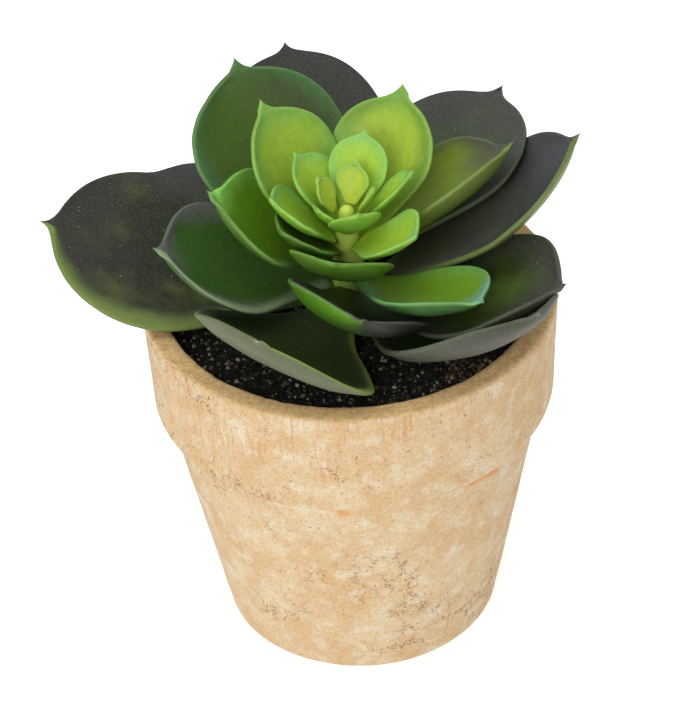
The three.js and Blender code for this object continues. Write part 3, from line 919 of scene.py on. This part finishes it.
# the inside below the rim is painted a darker brown
darker_inside = add(tree, "ShaderNodeMix", {"Factor": within, "A": rim_top_shaded, "B": "#5e4a30"}, data_type="RGBA")
pit_height = add(tree, "ShaderNodeMath", {0: 1.0, 1: pits_all}, operation="SUBTRACT")
pit_bump = add(tree, "ShaderNodeBump", {"Height": pit_height, "Strength": 0.7, "Distance": 0.25 * MM})
line_bump = add(tree, "ShaderNodeBump", {"Height": lines, "Strength": 0.25, "Distance": 0.10 * MM,
                                         "Normal": pit_bump})
sand_bump = add(tree, "ShaderNodeBump", {"Height": sand, "Strength": 0.7, "Distance": 0.16 * MM,
                                         "Normal": line_bump})
tree.links.new(darker_inside.outputs[2], shader.inputs["Base Color"])
tree.links.new(sand_bump.outputs["Normal"], shader.inputs["Normal"])
shader.inputs["Roughness"].default_value = 0.9
shader.inputs["Specular IOR Level"].default_value = 0.3
pot.data.materials.append(clay)
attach(pot, "root")
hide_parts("pot")
print("clay has", len(tree.nodes), "nodes")

# %% [markdown]
# ## The bed of soil
# Potting soil is nearly black peat with grit. Two things make it: a closed bed with a lumpy top
# that fills the pot, and thousands of loose crumbs on it. Crumbs set by hand would take days, so
# Geometry Nodes scatter them: points over the bed's top, a small faceted ball on each one with
# its own size and turn, and noise to knock it out of round.

# %% The lumpy bed
BED_SIDES = 220
STEM_HOLE = 7.2 * MM           # no crumbs lie nearer to the axis than this: the stem is there
soil_rings = wheel(refined(outline("soil"), 0.8 * MM, 0.8 * MM), BED_SIDES)
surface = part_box("soil")[1].z
on_top = np.clip((soil_rings[..., 2] - (surface - 3 * MM)) / (1.5 * MM), 0, 1)
lumps = 0.9 * MM * slow_noise(soil_rings, 7 * MM, 41) + 0.5 * MM * slow_noise(soil_rings, 2.2 * MM, 43)
soil_rings[..., 2] += np.minimum(lumps, 0.6 * MM) * on_top - 0.3 * MM * on_top
ends = soil_rings[0].mean(axis=0), soil_rings[-1].mean(axis=0)
soil = in_scene("soil_bed", ring_skin("soil_bed_skin", soil_rings, *ends, {}))
print("soil bed is level at", round(surface / MM, 1), "mm")

# %% A patch of the bed's top, for the crumbs to lie on
bed = bmesh.new()
bed.from_mesh(soil.data)
top_faces = [f for f in bed.faces if f.normal.z > 0.5 and f.calc_center_median().z > surface - 4 * MM
             and f.calc_center_median().xy.length > STEM_HOLE]
bmesh.ops.delete(bed, geom=list(set(bed.faces) - set(top_faces)), context="FACES")
ground_mesh = bpy.data.meshes.new("crumb_ground")
bed.to_mesh(ground_mesh)
bed.free()
crumbs = in_scene("soil_crumbs", ground_mesh)
area = sum(p.area for p in ground_mesh.polygons)
print("the crumbs have", round(area * 1e4, 1), "square centimetres to lie on")

# %% [markdown]
# ## Crumbs by Geometry Nodes
# The tree has named inputs for the crumb's size, how close the crumbs lie and the seed, so a
# coarser soil is a change of one number. Each crumb keeps a random shade, which the material
# reads: most crumbs are nearly black, some dark grey or brown, and a few are pale grit.

# %% The crumb tree
crumb_tree = bpy.data.node_groups.new("scatter_crumbs", "GeometryNodeTree")
for name, kind in (("Ground", "Geometry"), ("Crumb size", "Float"), ("Crumbs per square metre", "Float"),
                   ("Seed", "Int"), ("Crumb material", "Material")):
    crumb_tree.interface.new_socket(name, in_out="INPUT", socket_type="NodeSocket" + kind)
crumb_tree.interface.new_socket("Crumbs", in_out="OUTPUT", socket_type="NodeSocketGeometry")
given = add(crumb_tree, "NodeGroupInput")
spots = add(crumb_tree, "GeometryNodeDistributePointsOnFaces", {
    "Mesh": given.outputs["Ground"], "Density": given.outputs["Crumbs per square metre"],
    "Seed": given.outputs["Seed"]})
ball = add(crumb_tree, "GeometryNodeMeshIcoSphere", {"Radius": 0.5, "Subdivisions": 1})
draw = add(crumb_tree, "FunctionNodeRandomValue", {"Min": 0.0, "Max": 1.0, "Seed": given.outputs["Seed"]},
           data_type="FLOAT")
skewed = add(crumb_tree, "ShaderNodeMath", {0: draw, 1: 3.0}, operation="POWER")
share = add(crumb_tree, "ShaderNodeMath", {0: skewed, 1: 1.3, 2: 0.45}, operation="MULTIPLY_ADD")
size = add(crumb_tree, "ShaderNodeMath", {0: share, 1: given.outputs["Crumb size"]}, operation="MULTIPLY")
turn = add(crumb_tree, "FunctionNodeRandomValue", {"Min": (0, 0, 0), "Max": (6.28, 6.28, 6.28)},
           data_type="FLOAT_VECTOR")
placed = add(crumb_tree, "GeometryNodeInstanceOnPoints", {
    "Points": spots.outputs["Points"], "Instance": ball.outputs["Mesh"],
    "Rotation": turn, "Scale": size})
shade = add(crumb_tree, "FunctionNodeRandomValue", {"Min": 0.0, "Max": 1.0, "Seed": 7}, data_type="FLOAT")
kept = add(crumb_tree, "GeometryNodeStoreNamedAttribute", {
    "Geometry": placed, "Name": "shade_draw", "Value": shade}, data_type="FLOAT", domain="INSTANCE")
real = add(crumb_tree, "GeometryNodeRealizeInstances", {"Geometry": kept})
where = add(crumb_tree, "GeometryNodeInputPosition")
knock = add(crumb_tree, "ShaderNodeTexNoise", {"Vector": where, "Scale": 1 / (0.9 * MM), "Detail": 1.0})
centred = add(crumb_tree, "ShaderNodeVectorMath", {0: knock.outputs["Color"], 1: (0.5, 0.5, 0.5)},
              operation="SUBTRACT")
shove = add(crumb_tree, "ShaderNodeVectorMath", {0: centred, "Scale": 0.9 * MM}, operation="SCALE")
rough_crumbs = add(crumb_tree, "GeometryNodeSetPosition", {"Geometry": real, "Offset": shove})
dressed = add(crumb_tree, "GeometryNodeSetMaterial", {
    "Geometry": rough_crumbs, "Material": given.outputs["Crumb material"]})
add(crumb_tree, "NodeGroupOutput", {"Crumbs": dressed})
print("crumb tree has", len(crumb_tree.nodes), "nodes")

# %% Soil materials
# dry peat is nearly black and swallows light, its loose crumbs are a little paler, and a clod of
# brown loam lies among them
peat, tree, shader = new_material("black_potting_peat")
place = add(tree, "ShaderNodeTexCoord").outputs["Object"]
tone = patches(tree, place, 2.5, 0.35, 0.7, 6.0)
dark = add(tree, "ShaderNodeMix", {"Factor": tone, "A": "#0a0908", "B": "#1a1815"}, data_type="RGBA")
lump = add(tree, "ShaderNodeTexNoise", {"Vector": place, "Scale": 1 / (1.0 * MM), "Detail": 5.0})
lumpy = add(tree, "ShaderNodeBump", {"Height": lump, "Strength": 0.9, "Distance": 0.5 * MM})
tree.links.new(dark.outputs[2], shader.inputs["Base Color"])
tree.links.new(lumpy.outputs["Normal"], shader.inputs["Normal"])
shader.inputs["Roughness"].default_value = 0.95
shader.inputs["Specular IOR Level"].default_value = 0.2
soil.data.materials.append(peat)

CLOD = (29 * MM, -31 * MM, 89 * MM)  # where the clod lies, near the wall
grit, tree, shader = new_material("peat_crumbs_and_grit")
drawn = add(tree, "ShaderNodeAttribute", attribute_name="shade_draw").outputs["Fac"]
tones = add(tree, "ShaderNodeValToRGB", {"Fac": drawn})
tones.color_ramp.elements[0].color = linear("#080807")
tones.color_ramp.elements[1].color = linear("#85806f")
for share, tone in ((0.50, "#1a1814"), (0.74, "#35312a"), (0.89, "#50473a"), (0.96, "#7f7868")):
    tones.color_ramp.elements.new(share).color = linear(tone)
place = add(tree, "ShaderNodeTexCoord").outputs["Object"]
dust = add(tree, "ShaderNodeTexNoise", {"Vector": place, "Scale": 1 / (0.3 * MM), "Detail": 2.0})
dusty = add(tree, "ShaderNodeMapRange", {"Value": dust, "To Min": 0.6, "To Max": 1.35})
soiled = add(tree, "ShaderNodeHueSaturation", {"Value": dusty, "Color": tones.outputs["Color"]})
away = add(tree, "ShaderNodeVectorMath", {0: place, 1: CLOD}, operation="DISTANCE")
clod = add(tree, "ShaderNodeMapRange", {"Value": away.outputs["Value"], "From Min": 3 * MM,
                                        "From Max": 8 * MM, "To Min": 0.75, "To Max": 0.0})
ragged = add(tree, "ShaderNodeMath", {0: clod, 1: patches(tree, place, 2.0, 0.3, 0.6)},
             operation="MULTIPLY")
loamy = add(tree, "ShaderNodeMix", {"Factor": ragged, "A": soiled, "B": "#6b5436"},
            data_type="RGBA")
tree.links.new(loamy.outputs[2], shader.inputs["Base Color"])
shader.inputs["Roughness"].default_value = 0.85
shader.inputs["Specular IOR Level"].default_value = 0.2
print("soil materials ready")

# %% Scatter the crumbs
scatter = crumbs.modifiers.new("scatter", "NODES")
scatter.node_group = crumb_tree
wanted = {"Crumb size": 0.85 * MM, "Crumbs per square metre": 1.6e6, "Seed": 4, "Crumb material": grit}
for item in crumb_tree.interface.items_tree:
    if item.in_out == "INPUT" and item.name in wanted:
        scatter[item.identifier] = wanted[item.name]
evaluated = crumbs.evaluated_get(bpy.context.evaluated_depsgraph_get())
crumb_mesh = bpy.data.meshes.new_from_object(evaluated)
crumbs.modifiers.remove(scatter)
crumbs.data = crumb_mesh
crumb_mesh.name = "soil_crumbs"
for piece in (soil, crumbs):
    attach(piece, "root")
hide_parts("soil")
print("crumbs:", len(crumb_mesh.polygons) // 20, "of them,", len(crumb_mesh.polygons), "triangles")
